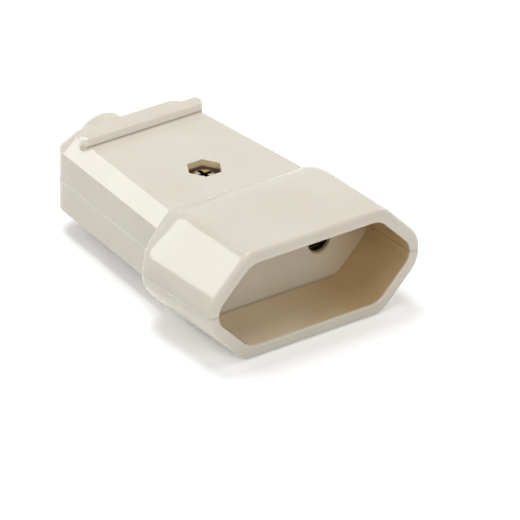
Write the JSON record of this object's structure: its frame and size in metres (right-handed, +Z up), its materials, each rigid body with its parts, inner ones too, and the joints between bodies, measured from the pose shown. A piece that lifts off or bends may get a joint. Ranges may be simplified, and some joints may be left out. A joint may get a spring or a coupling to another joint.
{
  "type": "in-line socket",
  "caption": "Ivory in-line mains socket for a flat plug: hexagonal collar with a recess and two pin holes, narrower body with a grip rib, and a round cord boss.",
  "frame": {"origin": "middle of the overall box, at its underside", "axes": "-Y the way the plug leaves, +Y the way the cord leaves, +Z up, +X to the right seen from the plug's side"},
  "size_m": [0.041, 0.0584, 0.0188],
  "materials": {
    "ivory_plastic": "smooth glossy moulding, ivory",
    "plated_steel": "yellowish zinc plate, slightly dull",
    "contact_brass": "rolled sheet, lightly drawn along its length",
    "spring_steel": "bright rolled spring strip",
    "terminal_brass": "turned and sawn bar",
    "clamp_plastic": "plain moulding, matt"
  },
  "bodies": {
    "root": {"upper_shell": "ivory_plastic", "lower_shell": "ivory_plastic", "case_screw": "plated_steel", "case_nut": "plated_steel", "contact_sleeve_left": "contact_brass", "contact_sleeve_right": "contact_brass", "contact_spring_left": "spring_steel", "contact_spring_right": "spring_steel", "terminal_block_left": "terminal_brass", "terminal_block_right": "terminal_brass", "terminal_screw_left": "plated_steel", "terminal_screw_right": "plated_steel", "contact_rivet_left": "terminal_brass", "contact_rivet_right": "terminal_brass", "cord_clamp": "clamp_plastic", "clamp_screw_left": "plated_steel", "clamp_screw_right": "plated_steel"}
  },
  "joints": []
}
